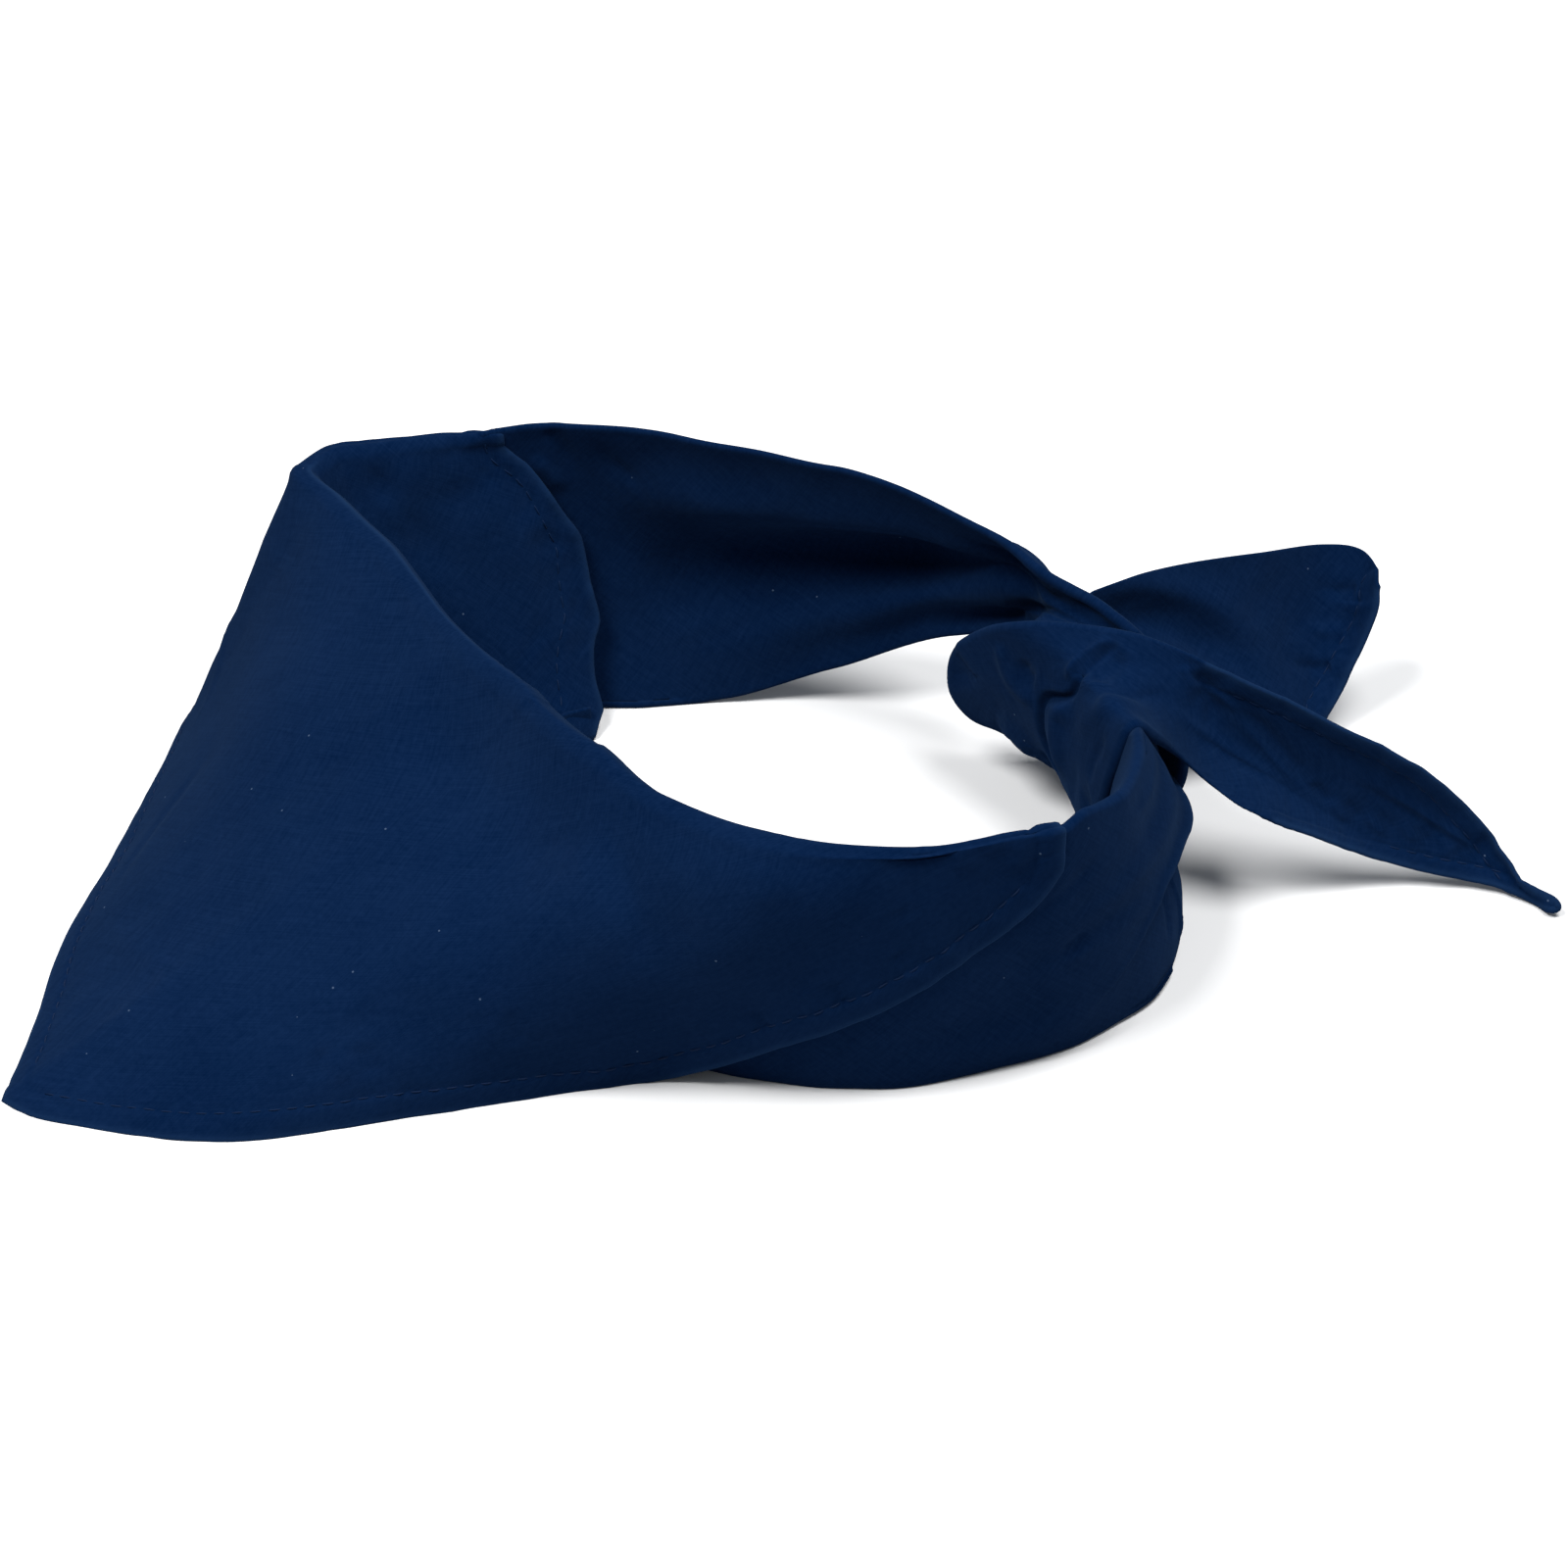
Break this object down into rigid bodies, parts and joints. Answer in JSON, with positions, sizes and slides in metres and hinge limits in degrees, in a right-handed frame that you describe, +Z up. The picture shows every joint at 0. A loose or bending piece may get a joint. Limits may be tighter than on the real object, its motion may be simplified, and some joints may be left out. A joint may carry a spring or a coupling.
{
  "type": "tied bandana",
  "caption": "Triangular cotton bandana folded down into a neck band with its pointed flap free, tied in a half knot, standing as an open loop on a surface.",
  "frame": {"origin": "middle of the bounding box, on the surface that the bandana stands on", "axes": "+Z up; -Y towards the tip of the flap, which the wearer has in front; +Y towards the knot; +X to the wearer's left"},
  "size_m": [0.1802, 0.2944, 0.057],
  "materials": {
    "cotton": "matt plain-woven cotton, dyed navy"
  },
  "bodies": {
    "root": {"front_flap": "cotton", "inner_fold": "cotton", "right_band": "cotton", "left_band": "cotton", "left_under": "cotton", "knot_core": "cotton", "knot_cross": "cotton", "knot_wrap": "cotton", "right_tail": "cotton", "left_tail": "cotton"}
  },
  "joints": []
}
